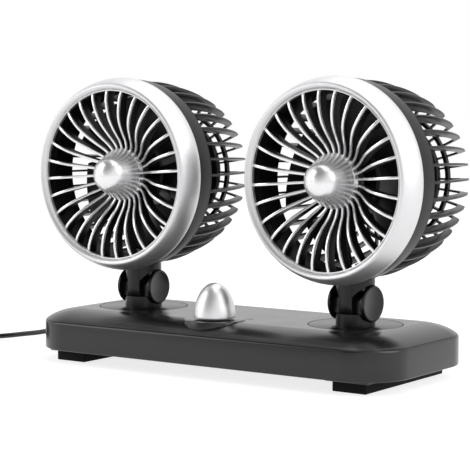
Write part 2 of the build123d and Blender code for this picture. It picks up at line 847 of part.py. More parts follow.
# Cord: grommet, free stretch, coil and plug
def cord_grommet():
    end = -base_length / 2
    flange = grommet_flange_thickness
    relief = turned(
        [
            (0, 0),
            (grommet_flange_radius, 0),
            (grommet_flange_radius, flange),
            (relief_base_radius, flange),
            (relief_tip_radius, flange + relief_length),
            (0, flange + relief_length),
        ]
    )
    body = Pos(end, 0, exit_height) * Rot(0, -90, 0) * relief
    body += bar_x(grommet_sleeve_radius, end, end + wall + seat_gap, exit_height)
    return body + bar_x(grommet_flange_radius, end + wall, end + wall + flange, exit_height)


def route_radii(points):
    """A radius for each corner: 0.45 of the shorter run over the tangent of half the turn."""
    radii = []
    for before, here, after in zip(points, points[1:], points[2:]):
        come = Vector(*here) - Vector(*before)
        go = Vector(*after) - Vector(*here)
        half_turn = math.radians(come.get_angle(go)) / 2
        radii.append(0.45 * min(come.length, go.length) / math.tan(half_turn))
    return radii


def free_cord():
    radii = route_radii(cord_route)
    print("cord radii", [round(radius, 1) for radius in radii])
    path = FilletPolyline(*cord_route, radius=radii)
    face = Plane(origin=path @ 0, z_dir=path % 0) * Circle(cord_diameter / 2)
    tube = sweep(face, path=path)
    expected = math.pi * cord_diameter**2 / 4 * path.length
    print("free cord", round(path.length, 1), "volume ratio", round(tube.volume / expected, 5))
    return tube, path.length


def coil_point(turn):
    """Place on the coil after some turns, anticlockwise from its back, spiralling in and out."""
    layer = min(int(turn / turns_per_layer), coil_layers - 1)
    along = turn - layer * turns_per_layer
    drawn_in = along if layer % 2 == 0 else turns_per_layer - along
    radius = coil_outer_radius - coil_pitch * drawn_in
    height = cord_diameter / 2
    for reversal in range(1, coil_layers):
        climb = (turn - reversal * turns_per_layer + 0.25) / 0.5
        height += coil_pitch * (1 - math.cos(math.pi * min(max(climb, 0), 1))) / 2
    angle = math.pi / 2 + 2 * math.pi * turn
    return Vector(
        coil_centre_x + radius * math.cos(angle),
        coil_centre_y + radius * math.sin(angle),
        height,
    )


def coil_tangent(turn):
    step = 0.001
    total = coil_layers * turns_per_layer
    if turn in (0, total):
        return Vector(-1, 0, 0)
    return (coil_point(turn + step) - coil_point(turn - step)).normalized()


def arc_middle(start, apex, end):
    """Middle of the arc that touches two equal legs meeting at an apex."""
    chord_middle = (start + end) * 0.5
    half = (end - start).length / 2
    leg = (apex - start).length
    cosine = half / leg
    return chord_middle + (apex - chord_middle) * (cosine / (1 + cosine))


def biarc(start, start_dir, end, end_dir):
    """Two arcs that leave one place and reach another with given directions."""
    span = end - start
    both = start_dir + end_dir
    spread = 2 * (1 - start_dir.dot(end_dir))
    forward = span.dot(both)
    root = math.sqrt(forward**2 + spread * span.dot(span))
    leg = (root - forward) / spread
    first_apex = start + start_dir * leg
    second_apex = end - end_dir * leg
    middle = (first_apex + second_apex) * 0.5
    return [
        ThreePointArc(start, arc_middle(start, first_apex, middle), middle),
        ThreePointArc(middle, arc_middle(middle, second_apex, end), end),
    ]


def cord_coil():
    quarters = 4 * coil_layers * turns_per_layer
    turns = [quarter / 4 for quarter in range(quarters + 1)]
    first = coil_point(0)
    last = coil_point(turns[-1])
    lead_in = cord_route[-1]
    edges = [Line(lead_in, first)]
    for before, after in zip(turns, turns[1:]):
        edges += biarc(coil_point(before), coil_tangent(before), coil_point(after), coil_tangent(after))
    tail = coil_tail + plug_relief_length + cord_into_grip
    edges.append(Line(last, last + Vector(-tail, 0, 0)))
    path = Wire(edges)
    face = Plane(origin=lead_in, z_dir=(-1, 0, 0)) * Circle(cord_diameter / 2)
    tube = sweep(face, path=path)
    expected = math.pi * cord_diameter**2 / 4 * path.length
    print("coil", round(path.length, 1), "volume ratio", round(tube.volume / expected, 5))
    samples = 24 * quarters
    places = [path @ (step / samples) for step in range(samples + 1)]
    apart = int(samples * math.pi * cord_diameter / path.length) + 1
    gap = min(
        (places[i] - places[j]).length for i in range(0, samples, 2) for j in range(i + apart, samples + 1)
    )
    print("least gap of the coil to itself", round(gap - cord_diameter, 3))
    return tube, path.length


def along_plug(solid, distance):
    """Place a solid drawn about Z so that it points along -X from the plug's tail."""
    tail = coil_centre_x - coil_tail
    return Pos(tail - distance, 0, plug_height) * Rot(0, -90, 0) * solid


def plug_pieces():
    grip_start = plug_relief_length
    body_start = grip_start + plug_grip_length
    ring_start = body_start + plug_body_length
    ring_end = ring_start + plug_ring_length
    relief = turned(
        [
            (0, 0),
            (plug_relief_tip_radius, 0),
            (plug_relief_base_radius, grip_start),
            (0, grip_start),
        ]
    )
    channel = disc(cord_diameter / 2 + shaft_gap, -cut_over, grip_start + cord_into_grip + shaft_gap)
    save("plug_strain_relief", along_plug(relief - channel, 0))
    grip = disc(plug_height, grip_start, body_start)
    grip = fillet(grip.edges(), plug_grip_edge_radius)
    body = grip + disc(plug_body_radius, body_start - cut_over, ring_start)
    bore_start = ring_start - fuse_length - plug_floor_thickness
    body -= disc(plug_bore_radius, bore_start, ring_start + cut_over)
    body -= channel
    contact_start = body_start + (plug_body_length - contact_length) / 2
    reach = plug_body_radius + contact_proud
    contact_end = contact_start + contact_length
    leaf = block((0, reach), (-contact_width / 2, contact_width / 2), (contact_start, contact_end))
    bow = Pos(0, 0, (contact_start + contact_end) / 2)
    bow_rise = contact_proud + contact_root
    bow_radius = (contact_length**2 / 4 + bow_rise**2) / (2 * bow_rise)
    bow_disc = Rot(90, 0, 0) * Cylinder(bow_radius, 2 * contact_width)
    leaf &= bow * Pos(reach - bow_radius, 0, 0) * bow_disc
    leaf -= disc(plug_body_radius - contact_root, 0, ring_end)
    slot = block(
        (0, 2 * plug_body_radius),
        (-contact_width / 2 - seat_gap, contact_width / 2 + seat_gap),
        (contact_start - seat_gap, contact_end + seat_gap),
    )
    contacts = []
    for turn in (90, 270):
        body -= Rot(0, 0, turn) * (slot - disc(plug_body_radius - contact_root, 0, ring_end))
        contacts.append(along_plug(Rot(0, 0, turn) * leaf, 0))
    save("plug_body", along_plug(body, 0))
    save("plug_side_contacts", contacts)
    ring = disc(plug_ring_radius, ring_start, ring_end)
    ring = chamfer(ring.edges().group_by(Axis.Z)[-1], plug_ring_chamfer)
    ring -= disc(ring_cavity_radius, ring_start - cut_over, ring_end - ring_front_thickness)
    ring -= disc(plug_tip_radius + 2 * shaft_gap, ring_start, ring_end + cut_over)
    save("plug_ring_cap", along_plug(ring, 0))
    fuse_end = ring_start - seat_gap
    save("plug_fuse", along_plug(disc(fuse_radius, fuse_end - fuse_length, fuse_end), 0))
    collar_end = ring_end - ring_front_thickness - shaft_gap
    tip = disc(plug_tip_collar_radius, collar_end - plug_tip_collar_length, collar_end)
    pin = disc(plug_tip_radius, collar_end - plug_tip_collar_length, ring_end + plug_tip_reach)
    pin = fillet(pin.edges().group_by(Axis.Z)[-1], plug_tip_radius * 2 / 3)
    save("plug_tip", along_plug(tip + pin, 0))


# Write every node
save("base_lid", base_lid())
save("base_tray", base_tray())
foot_plates_and_pads()
save("base_screws", base_screws())
save("circuit_board", circuit_board())
save("board_components", board_components())
save("speed_control", speed_control())
save("control_shaft", control_shaft())
save("speed_knob", speed_knob())
save("indicator_light", indicator_light())

head_pieces = {
    "turntable": turntable(),
    "turntable_clip": turntable_clip(),
    "hinge_bolt": hinge_bolt(),
    "hinge_caps": hinge_caps(),
    "housing": housing(),
    "bezel": bezel(),
    "grille": grille(),
    "grille_trim": grille_trim(),
    "spinner": spinner(),
    "rear_cage": rear_cage(),
    "rear_cap": rear_cap(),
    "motor": motor(),
    "motor_screws": motor_screws(),
    "motor_shaft": motor_shaft(),
}
for side, place, yaw in neck_sides:
    stand = Pos(place, 0, 0) * Rot(0, 0, yaw)
    for name, piece in head_pieces.items():
        group = piece if isinstance(piece, list) else [piece]
        save(f"{side}_{name}", [stand * item for item in group])
    save(f"{side}_impeller", stand * impeller(blade_starts[side]))

save("cord_grommet", cord_grommet())
free_tube, free_length = free_cord()
coil_tube, coil_length = cord_coil()
save("power_cord", free_tube)
save("cord_coil", coil_tube)
plug_pieces()
print("cord length", round(free_length + coil_length, 1))
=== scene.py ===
import math

import bmesh
import bpy
from mathutils import Matrix, Vector


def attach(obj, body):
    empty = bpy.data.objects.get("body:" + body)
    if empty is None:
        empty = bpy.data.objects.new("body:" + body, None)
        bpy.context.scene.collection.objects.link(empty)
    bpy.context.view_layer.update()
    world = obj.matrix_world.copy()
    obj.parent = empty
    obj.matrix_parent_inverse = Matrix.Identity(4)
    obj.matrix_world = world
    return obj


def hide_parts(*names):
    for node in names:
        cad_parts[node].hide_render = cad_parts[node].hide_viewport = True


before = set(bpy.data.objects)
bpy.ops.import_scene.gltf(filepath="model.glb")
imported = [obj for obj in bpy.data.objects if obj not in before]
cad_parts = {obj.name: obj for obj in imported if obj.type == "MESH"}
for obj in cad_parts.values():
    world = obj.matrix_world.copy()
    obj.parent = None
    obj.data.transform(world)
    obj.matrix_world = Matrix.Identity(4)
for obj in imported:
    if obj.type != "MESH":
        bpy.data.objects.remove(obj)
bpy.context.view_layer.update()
scene = bpy.context.scene

# Camera: a long lens, about 35 degrees round to the right of the fans' front and a few degrees
# above the base. It is aimed near the middle of the object, so the lens needs no shift.
camera_data = bpy.data.cameras.new("Camera")
camera_data.sensor_width = 36
camera_data.lens = 128.6
camera_data.clip_start = 0.01
camera = bpy.data.objects.new("Camera", camera_data)
camera.location = (0.4894, -0.7082, 0.1368)
camera_aim = Vector((-0.00631, 0, 0.06786)) - camera.location
camera.rotation_euler = camera_aim.to_track_quat("-Z", "Y").to_euler()
scene.collection.objects.link(camera)
scene.camera = camera


# Cord: a light two-core lead in soft vinyl, out of the left end of the base and down to the table.
# The length that the view doesn't show is wound into a coil of four layers beside the base.
def socket(group, name, kind, into=True, value=None):
    made = group.interface.new_socket(name, in_out="INPUT" if into else "OUTPUT", socket_type=kind)
    if value is not None:
        made.default_value = value


def surface_group(name, fine_kind, fine_scale, smudge_scale):
    """Group that turns object coordinates into a slightly uneven roughness and a fine bump."""
    group = bpy.data.node_groups.new(name, "ShaderNodeTree")
    socket(group, "Roughness", "NodeSocketFloat", value=0.4)
    socket(group, "Spread", "NodeSocketFloat", value=0.08)
    socket(group, "Bump", "NodeSocketFloat", value=0.1)
    socket(group, "Roughness", "NodeSocketFloat", into=False)
    socket(group, "Normal", "NodeSocketVector", into=False)
    nodes = group.nodes
    links = group.links
    inside = nodes.new("NodeGroupInput")
    outside = nodes.new("NodeGroupOutput")
    place = nodes.new("ShaderNodeTexCoord")
    smudge = nodes.new("ShaderNodeTexNoise")
    smudge.inputs["Scale"].default_value = smudge_scale
    smudge.inputs["Detail"].default_value = 5
    links.new(place.outputs["Object"], smudge.inputs["Vector"])
    centred = nodes.new("ShaderNodeMath")
    centred.operation = "SUBTRACT"
    centred.inputs[1].default_value = 0.5
    links.new(smudge.outputs[0], centred.inputs[0])
    spread = nodes.new("ShaderNodeMath")
    spread.operation = "MULTIPLY_ADD"
    links.new(centred.outputs[0], spread.inputs[0])
    links.new(inside.outputs["Spread"], spread.inputs[1])
    links.new(inside.outputs["Roughness"], spread.inputs[2])
    fine = nodes.new(fine_kind)
    fine.inputs["Scale"].default_value = fine_scale
    links.new(place.outputs["Object"], fine.inputs["Vector"])
    bump = nodes.new("ShaderNodeBump")
    bump.inputs["Distance"].default_value = 0.0001
    links.new(fine.outputs[0], bump.inputs["Height"])
    links.new(inside.outputs["Bump"], bump.inputs["Strength"])
    links.new(spread.outputs[0], outside.inputs["Roughness"])
    links.new(bump.outputs["Normal"], outside.inputs["Normal"])
    return group


grain_group = surface_group("Moulded grain", "ShaderNodeTexNoise", 2600, 45)


def material(name, colour, roughness, metallic=0.0, group=grain_group, spread=0.08, bump=0.12, **sockets):
    made = bpy.data.materials.new(name)
    made.use_nodes = True
    tree = made.node_tree
    shader = tree.nodes["Principled BSDF"]
    shader.inputs["Base Color"].default_value = (*colour, 1)
    shader.inputs["Metallic"].default_value = metallic
    for key, value in sockets.items():
        shader.inputs[key.replace("_", " ")].default_value = value
    surface = tree.nodes.new("ShaderNodeGroup")
    surface.node_tree = group
    surface.inputs["Roughness"].default_value = roughness
    surface.inputs["Spread"].default_value = spread
    surface.inputs["Bump"].default_value = bump
    tree.links.new(surface.outputs["Roughness"], shader.inputs["Roughness"])
    tree.links.new(surface.outputs["Normal"], shader.inputs["Normal"])
    return made


def tint(made, dark, light, scale):
    """Slow variation of the base colour between two colours."""
    tree = made.node_tree
    place = tree.nodes.new("ShaderNodeTexCoord")
    noise = tree.nodes.new("ShaderNodeTexNoise")
    noise.inputs["Scale"].default_value = scale
    noise.inputs["Detail"].default_value = 4
    ramp = tree.nodes.new("ShaderNodeValToRGB")
    ramp.color_ramp.elements[0].position = 0.3
    ramp.color_ramp.elements[0].color = (*dark, 1)
    ramp.color_ramp.elements[1].position = 0.7
    ramp.color_ramp.elements[1].color = (*light, 1)
    tree.links.new(place.outputs["Object"], noise.inputs["Vector"])
    tree.links.new(noise.outputs[0], ramp.inputs["Fac"])
    tree.links.new(ramp.outputs["Color"], tree.nodes["Principled BSDF"].inputs["Base Color"])
    return made


cord_vinyl = material("Cord vinyl", (0.02,) * 3, 0.45, bump=0.2)
cord_vinyl = tint(cord_vinyl, (0.017,) * 3, (0.023,) * 3, 120)

cord_radius = 1.4
cord_route = [
    (-118.4, 0.0, 10.6),
    (-126.4, 0.1, 10.4),
    (-138.6, 0.5, 6.9),
    (-152.4, 0.3, 4.8),
    (-165.6, -0.3, 2.7),
    (-175.6, 0.0, 1.4),
    (-184.2, 0.0, 1.4),
]
coil_layers = 4
turns_per_layer = 3
coil_pitch = 3.27
coil_radius = 21.0
coil_x = -187.0
coil_y = -21.0
coil_steps = 24
layer_change = 0.5


def coil_point(turn):
    """Point of the winding after a number of turns. The layers go in and out by turns."""
    layer = min(int(turn / turns_per_layer), coil_layers - 1)
    along = turn - layer * turns_per_layer
    inwards = along if layer % 2 == 0 else turns_per_layer - along
    radius = coil_radius - coil_pitch * inwards
    height = cord_radius
    for reversal in range(1, coil_layers):
        climb = (turn - reversal * turns_per_layer + layer_change / 2) / layer_change
        climb = min(max(climb, 0), 1)
        height += coil_pitch * (1 - math.cos(math.pi * climb)) / 2
    angle = math.pi / 2 + math.tau * turn
    return coil_x + radius * math.cos(angle), coil_y + radius * math.sin(angle), height


coil_count = coil_layers * turns_per_layer * coil_steps
coil_points = [coil_point(step / coil_steps) for step in range(coil_count + 1)]
cord_end = coil_points[-1][2]
cord_tail = [(x, 0.0, cord_end) for x in (-190.0, -207.0, -228.6)]
cord_points = cord_route + coil_points + cord_tail
cord_curve = bpy.data.curves.new("cord", "CURVE")
cord_curve.dimensions = "3D"
cord_curve.bevel_depth = cord_radius / 1000
cord_curve.bevel_resolution = 5
cord_curve.resolution_u = 4
cord_curve.use_fill_caps = True
cord_spline = cord_curve.splines.new("NURBS")
cord_spline.points.add(len(cord_points) - 1)
for point, place in zip(cord_spline.points, cord_points):
    point.co = (place[0] / 1000, place[1] / 1000, place[2] / 1000, 1)
cord_spline.order_u = 3
cord_spline.use_endpoint_u = True
cord_curve.materials.append(cord_vinyl)
cord = bpy.data.objects.new("cord", cord_curve)
scene.collection.objects.link(cord)
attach(cord, "base")
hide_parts("power_cord", "cord_coil")

# Grommet: a soft vinyl relief moulded on the cord, held in the end wall of the base by its flanges.
# Its tapered tail has four ribs, so that the cord bends gently where it leaves.
MM = Matrix.Scale(0.001, 4)


def rounded(points, radius=0.3, steps=4):
    """Outline with its corners rounded. A point may carry its own radius as a third number."""
    made = []
    count = len(points)
    for index, point in enumerate(points):
        here = Vector(point[:2])
        reach = point[2] if len(point) > 2 else radius
        before = Vector(points[index - 1][:2]) - here
        after = Vector(points[(index + 1) % count][:2]) - here
        if reach == 0 or before.length == 0 or after.length == 0 or here.x == 0:
            made.append(here)
            continue
        half = before.angle(after, math.pi) / 2
        cut = min(reach / max(math.tan(half), 0.05), 0.45 * before.length, 0.45 * after.length)
        start = here + before.normalized() * cut
        end = here + after.normalized() * cut
        for step in range(steps + 1):
            t = step / steps
            made.append(start * (1 - t) ** 2 + here * 2 * t * (1 - t) + end * t**2)
    return made


def lathe(outline, steps, closed=True):
    """Solid of revolution about Z from (radius, height) points. One on the axis isn't closed."""
    bm = bmesh.new()
    verts = [bm.verts.new((point[0], 0, point[1])) for point in outline]
    pairs = list(zip(verts, verts[1:])) + ([(verts[-1], verts[0])] if closed else [])
    edges = [bm.edges.new(pair) for pair in pairs]
    bmesh.ops.spin(
        bm, geom=verts + edges, cent=(0, 0, 0), axis=(0, 0, 1), angle=math.tau, steps=steps, use_merge=True
    )
    bmesh.ops.remove_doubles(bm, verts=bm.verts, dist=0.0005)
    bmesh.ops.dissolve_degenerate(bm, edges=bm.edges, dist=0.0005)
    bmesh.ops.recalc_face_normals(bm, faces=bm.faces)
    return bm


def join(parts):
    """One mesh from several, each given as a mesh or as (mesh, matrix)."""
    whole = bmesh.new()
    for part in parts:
        bm, place = part if isinstance(part, tuple) else (part, Matrix())
        mesh = bpy.data.meshes.new("part")
        bm.to_mesh(mesh)
        mesh.transform(place)
        whole.from_mesh(mesh)
        bpy.data.meshes.remove(mesh)
    return whole


def piece(name, bm, place, finish, body, node):
    """Put a mesh in the frame as a piece that rides on a body and stands for a CAD node."""
    bm = bm.copy()
    bmesh.ops.transform(bm, matrix=MM @ place, verts=bm.verts)
    bmesh.ops.recalc_face_normals(bm, faces=bm.faces)
    for face in bm.faces:
        face.smooth = True
    for edge in bm.edges:
        edge.smooth = edge.calc_face_angle(0) < math.radians(35)
    mesh = bpy.data.meshes.new(name)
    bm.to_mesh(mesh)
    mesh.materials.append(finish)
    made = bpy.data.objects.new(name, mesh)
    scene.collection.objects.link(made)
    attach(made, body)
    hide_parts(node)
    return made


flange_radius = 3.3
flange_depth = 1.1
grommet_neck = 2.15
grommet_ribs = 4
grommet_line = [(0, 0), (flange_radius, 0), (flange_radius, flange_depth), (2.9, flange_depth, 0)]
for step in range(grommet_ribs):
    low = 1.6 + 1.7 * step
    wide = 2.85 - 0.22 * step
    grommet_line += [(wide, low, 0.15), (wide - 0.05, low + 1.0, 0.15), (wide - 0.55, low + 1.1, 0.1)]
    grommet_line += [(wide - 0.6, low + 1.6, 0.1)]
grommet_line += [(1.9, 8.3, 0.2), (1.9, 9.5), (0, 9.5)]
inner_flange = [(0, -3.0), (flange_radius, -3.0), (flange_radius, -1.9), (grommet_neck, -1.9)]
inner_flange += [(grommet_neck, 0), (0, 0)]
grommet = join([lathe(rounded(grommet_line), 48, closed=False), lathe(inner_flange, 32, closed=False)])
grommet_place = Matrix.Translation((-108.8, 0, 10.6)) @ Matrix.Rotation(-math.pi / 2, 4, "Y")
grommet_piece = piece("grommet", grommet, grommet_place, cord_vinyl, "base", "cord_grommet")

# Plug relief: a tapered vinyl tail with seven rings, moulded on the cord where it goes into the plug.
# The plug lies on the table beside the coil, and its pieces follow one after another along it.
plug_place = Matrix.Translation((-192, 0, cord_end)) @ Matrix.Rotation(-math.pi / 2, 4, "Y")
relief_rings = 7
relief_length = 18.6
relief_line = [(0, 0), (2.0, 0)]
for step in range(relief_rings):
    low = 1.2 + 2.4 * step
    wide = 2.15 + 0.37 * step
    relief_line += [(wide - 0.1, low, 0.1), (wide, low + 0.3, 0.2), (wide + 0.25, low + 1.6, 0.2)]
    relief_line += [(wide - 0.25, low + 1.8, 0.1)]
relief_line += [(4.75, 17.8, 0.1), (4.8, relief_length, 0), (0, relief_length)]
relief = lathe(rounded(relief_line), 48, closed=False)
plug_relief = piece("plug_relief", relief, plug_place, cord_vinyl, "base", "plug_strain_relief")

# Plug body: one satin black moulding. A grip with five grooves carries the round insert that goes
# into the lighter socket. The base is moulded in the same plastic.
base_black = material("Base plastic", (0.012,) * 3, 0.23, bump=0.15)
base_black = tint(base_black, (0.01,) * 3, (0.014,) * 3, 30)
grip_radius = 11.18
groove_radius = 10.7
grip_grooves = 5
insert_radius = 10.45
plug_line = [(0, relief_length), (9.6, relief_length, 1.4), (11.1, 20.2, 1.2)]
for step in range(grip_grooves):
    low = 22.4 + 3.2 * step
    plug_line += [(grip_radius, low, 0.15), (groove_radius, low + 0.25, 0.15)]
    plug_line += [(groove_radius, low + 0.95, 0.15), (grip_radius, low + 1.2, 0.15)]
plug_line += [(11.15, 41.4, 0.8), (insert_radius, 42.7), (insert_radius, 80.5, 0.25), (10.1, 80.6, 0.2)]
plug_line += [(4, 80.6), (4, 48), (0, 48)]
plug_shell = lathe(rounded(plug_line), 72, closed=False)
plug_body = piece("plug_body_shell", plug_shell, plug_place, base_black, "base", "plug_body")


# Side contacts: two bowed leaves of nickel plated brass that spring out of the insert's sides and
# press on the socket's wall.
def plate(outline, half, bevel):
    """Flat plate in the XZ plane from (x, z) points, with softened edges."""
    bm = bmesh.new()
    face = bm.faces.new([bm.verts.new((point[0], -half, point[1])) for point in outline])
    grown = bmesh.ops.extrude_face_region(bm, geom=[face])["geom"]
    lifted = [item for item in grown if isinstance(item, bmesh.types.BMVert)]
    bmesh.ops.translate(bm, verts=lifted, vec=(0, 2 * half, 0))
    bmesh.ops.recalc_face_normals(bm, faces=bm.faces)
    rims = [edge for edge in bm.edges if edge.calc_face_angle(0) > 1.2]
    bmesh.ops.bevel(bm, geom=rims, offset=bevel, segments=2, affect="EDGES", profile=0.5, material=-1)
    return bm


fleck_group = surface_group("Metallic fleck", "ShaderNodeTexVoronoi", 3800, 60)
brass_plate = material("Nickel plate", (0.66, 0.64, 0.6), 0.22, 1.0, fleck_group, 0.1, 0.04)
leaf_steps = 12
leaf_bow = 2.15
leaf_outline = [(9.4, 51.6)]
for step in range(leaf_steps + 1):
    share = step / leaf_steps
    leaf_outline.append((9.6 + leaf_bow * math.sin(math.pi * share) ** 1.2, 51.8 + 19.6 * share))
leaf_outline.append((9.4, 71.6))
leaf = plate(leaf_outline, 2.4, 0.25)
leaves = join([(leaf, Matrix.Rotation(turn, 4, "Z")) for turn in (math.pi / 2, -math.pi / 2)])
plug_contacts = piece(
    "plug_contacts", leaves, plug_place, brass_plate, "base", "plug_side_contacts"
)

# Ring cap and tip: the black ring is screwed on the insert's end over the fuse, and the nickel
# plated centre contact slides in it on a spring.
ring_bore = 3.7
ring_line = [(6, 80.6), (9, 80.6, 0.2), (9, 82.0, 0.2), (8.75, 82.2, 0.1), (8.75, 82.8, 0.1), (9, 83.0, 0.2)]
ring_line += [(9, 86.4, 0.6), (7.9, 87.6, 0.5), (ring_bore, 87.6, 0.2), (ring_bore, 86), (6, 86)]
ring = lathe(rounded(ring_line), 64)
plug_ring = piece("plug_ring", ring, plug_place, base_black, "base", "plug_ring_cap")
tip_line = [(0, 84.55), (5.4, 84.55, 0.2), (5.4, 85.95, 0.2), (3.6, 85.95), (3.6, 91.4, 1.6)]
tip_line += [(2.2, 93.1, 0.6), (0, 93.1)]
tip = lathe(rounded(tip_line), 48, closed=False)
plug_tip = piece("plug_tip_pin", tip, plug_place, brass_plate, "plug_tip", "plug_tip")


# Base tray: the lower shell of the base, moulded in satin black plastic. Its walls have softened
# edges, and one open hole behind takes a screw up into the lid.
def loft(loops, caps=True):
    """Skin over closed loops with the same number of points."""
    bm = bmesh.new()
    rows = [[bm.verts.new(point) for point in loop] for loop in loops]
    count = len(rows[0])
    for low, high in zip(rows, rows[1:]):
        for index in range(count):
            after = (index + 1) % count
            bm.faces.new((low[index], low[after], high[after], high[index]))
    if caps:
        bm.faces.new(rows[0][::-1])
        bm.faces.new(rows[-1])
    bmesh.ops.remove_doubles(bm, verts=bm.verts, dist=0.0005)
    bmesh.ops.recalc_face_normals(bm, faces=bm.faces)
    return bm


base_half_length = 108.8
base_half_depth = 46.7
base_corner = 24.5
base_corner_steps = 14


def base_loop(inset, height):
    """Points of the base's outline, drawn in by an inset."""
    radius = max(base_corner - inset, 0.5)
    reach_x = base_half_length - inset - radius
    reach_y = base_half_depth - inset - radius
    made = []
    for turn, (sign_x, sign_y) in enumerate(((1, 1), (-1, 1), (-1, -1), (1, -1))):
        for step in range(base_corner_steps + 1):
            angle = math.pi / 2 * (turn + step / base_corner_steps)
            x = sign_x * reach_x + radius * math.cos(angle)
            y = sign_y * reach_y + radius * math.sin(angle)
            made.append((x, y, height))
    return made


def circle(radius, height, x, y, count):
    turns = [math.tau * step / count for step in range(count)]
    return [(x + radius * math.cos(turn), y + radius * math.sin(turn), height) for turn in turns]


def rim_edges(bm, loop):
    verts = [bm.verts.new(point) for point in loop]
    return [bm.edges.new((verts[index - 1], verts[index])) for index in range(len(verts))]


def sheet_with_holes(outer, holes):
    """Flat face with holes."""
    bm = bmesh.new()
    edges = rim_edges(bm, outer)
    for hole in holes:
        edges += rim_edges(bm, hole)
    bmesh.ops.triangle_fill(bm, use_beauty=True, use_dissolve=False, edges=edges)
    return bm


seam_height = 21.4
tray_bottom = 6.4
tray_floor = 8.2
tray_wall = 1.8
tray_loops = [(0.75, tray_bottom), (0.45, 6.46), (0.2, 6.65), (0.05, 6.9), (0, 7.15), (0, 20.3)]
tray_loops += [(0.09, 20.72), (0.32, 21.08), (0.66, 21.31), (1.05, seam_height), (tray_wall, seam_height)]
tray_loops += [(tray_wall, tray_floor)]
screw_hole = [circle(3.0, height, 0, 34, 32) for height in (tray_bottom, 8.9)]
tray = join(
    [
        loft([base_loop(inset, height) for inset, height in tray_loops], caps=False),
        sheet_with_holes(base_loop(0.75, tray_bottom), [screw_hole[0]]),
        loft(screw_hole, caps=False),
        sheet_with_holes(base_loop(tray_wall, tray_floor), []),
    ]
)
piece("tray", tray, Matrix(), base_black, "base", "base_tray")

# Base lid: the upper shell, a low dome moulded in the same black. It has a round well for each
# turntable, a flat pad under the knob and a slot for the light.
lid_top = 27.1
dome_steps = 14
dome_reach = 20
dome_rise = 5.7
well_x = 66.3
knob_y = -26.8
lid_loops = [(1.5, 21.42), (0.8, 21.42), (0.6, 21.5)]
for step in range(dome_steps + 1):
    angle = math.radians(31 + 49.5 * step / dome_steps)
    inset = dome_reach * (1 - math.cos(angle) / math.cos(math.radians(30)))
    lid_loops.append((0.5 + inset, seam_height + dome_rise * (math.sin(angle) - 0.5) / 0.5))
lid_loops += [(17.9, lid_top), (18.4, lid_top)]
well_line = [(23.95, lid_top), (23.75, 27.02), (23.65, 26.85), (23.65, 24.4), (17.0, 24.4), (17.0, 22.6)]
lid_parts = [loft([base_loop(inset, height) for inset, height in lid_loops], caps=False)]
lid_rims = []
for x in (-well_x, well_x):
    well = [circle(radius, height, x, 0, 96) for radius, height in well_line]
    lid_parts.append(loft(well, caps=False))
    lid_rims.append(well[0])
light_slot = [(10.9, -15.35), (15.1, -15.35), (15.1, -14.05), (10.9, -14.05)]
slot_walls = [[(x, y, height) for x, y in light_slot] for height in (lid_top, 25.0)]
lid_rims.append(slot_walls[0])
lid_parts.append(sheet_with_holes(base_loop(18.4, lid_top), lid_rims))
lid_parts.append(loft(slot_walls, caps=False))
pad_line = [(3.8, 27.5), (15.0, 27.5), (15.3, 27.4), (15.4, 27.15), (15.4, 22.5), (13.6, 22.5)]
pad_line += [(13.6, 25.7), (3.8, 25.7)]
lid_parts.append((lathe(pad_line, 96), Matrix.Translation((0, knob_y, 0))))
piece("lid", join(lid_parts), Matrix(), base_black, "base", "base_lid")


# Feet: a thin moulded plate under each end of the tray, with a thicker strip of matt rubber fixed
# under it.
def box_mesh(low, high, bevel):
    """Box between two corners with rounded edges."""
    bm = bmesh.new()
    bmesh.ops.create_cube(bm, size=1)
    sizes = [b - a for a, b in zip(low, high)]
    middle = [(a + b) / 2 for a, b in zip(low, high)]
    bmesh.ops.scale(bm, vec=sizes, verts=bm.verts)
    bmesh.ops.translate(bm, vec=middle, verts=bm.verts)
    edges = bm.edges[:]
    bmesh.ops.bevel(bm, geom=edges, offset=bevel, segments=3, affect="EDGES", profile=0.5, material=-1)
    return bm


rubber = material("Rubber", (0.005,) * 3, 0.7, bump=0.5, Specular_IOR_Level=0.15)
rubber = tint(rubber, (0.004,) * 3, (0.006,) * 3, 90)
foot_x = 85.55
pad_height = 5.1
for side, x in (("left", -foot_x), ("right", foot_x)):
    foot_plate = box_mesh((x - 11.75, -40.5, pad_height), (x + 11.75, 40.5, tray_bottom), 0.3)
    piece(f"{side}_plate", foot_plate, Matrix(), base_black, "base", f"{side}_foot_plate")
    foot_pad = box_mesh((x - 9.25, -38, 0), (x + 9.25, 38, pad_height), 0.5)
    piece(f"{side}_pad", foot_pad, Matrix(), rubber, "base", f"{side}_foot_pad")

# Speed knob: a bullet shape in plastic with a satin chrome finish, hollow below, with a softened
# edge at its foot. It is pushed on the control's shaft.
chrome = material("Satin chrome", (0.8, 0.8, 0.81), 0.38, 0.9, fleck_group, 0.05, 0.03)
knob_radius = 10.6
knob_height = 17.5
knob_foot = 28.3
knob_bore = 3.03
knob_steps = 24
knob_line = [(0, knob_foot + knob_height)]
for step in range(1, knob_steps):
    angle = math.pi / 2 * (1 - step / knob_steps)
    knob_line.append((knob_radius * math.cos(angle), knob_foot + knob_height * math.sin(angle)))
knob_line += [(knob_radius, 28.75), (10.5, 28.45), (10.2, knob_foot), (8.8, knob_foot), (8.2, 31), (7, 36)]
knob_line += [(4.8, 37.5), (4.8, 28.4), (knob_bore, 28.4), (knob_bore, 37.8), (0, 37.8)]
knob_place = Matrix.Translation((0, knob_y, 0.1))
piece("knob", lathe(knob_line, 72, closed=False), knob_place, chrome, "knob", "speed_knob")


# Turntables: a black moulding that turns in each well, with a round post and two ears that make a
# clevis for the head's tongue. The right one is turned a little inwards.
def across(stations, outline):
    """Skin over outlines in YZ at places along X. outline(x) gives the (y, z) points there."""
    return loft([[(x, y, z) for y, z in outline(x)] for x in stations])


